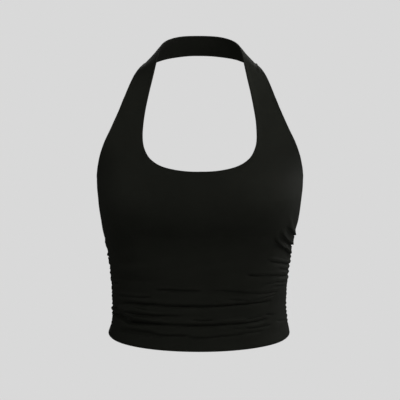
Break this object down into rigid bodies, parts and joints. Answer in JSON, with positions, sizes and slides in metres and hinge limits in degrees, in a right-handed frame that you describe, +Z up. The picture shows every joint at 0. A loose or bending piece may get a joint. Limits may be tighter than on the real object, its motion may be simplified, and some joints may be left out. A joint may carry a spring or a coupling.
{
  "type": "halter neck top",
  "caption": "Black jersey halter neck top in worn form: scooped neckline, wide straps joined by a band round the nape, open back and ruched side seams.",
  "frame": {"origin": "middle of the nape band's inner face, where the wearer's neck holds the top", "axes": "+Z up, +Y from the front of the top to its back, +X towards the left side of the wearer, which is on the right as seen from the front"},
  "size_m": [0.2978, 0.2161, 0.4463],
  "materials": {
    "jersey": "matte black double jersey with a faint sheen"
  },
  "bodies": {
    "root": {"front_panel": "jersey", "back_panel": "jersey", "neck_strap": "jersey"}
  },
  "joints": []
}
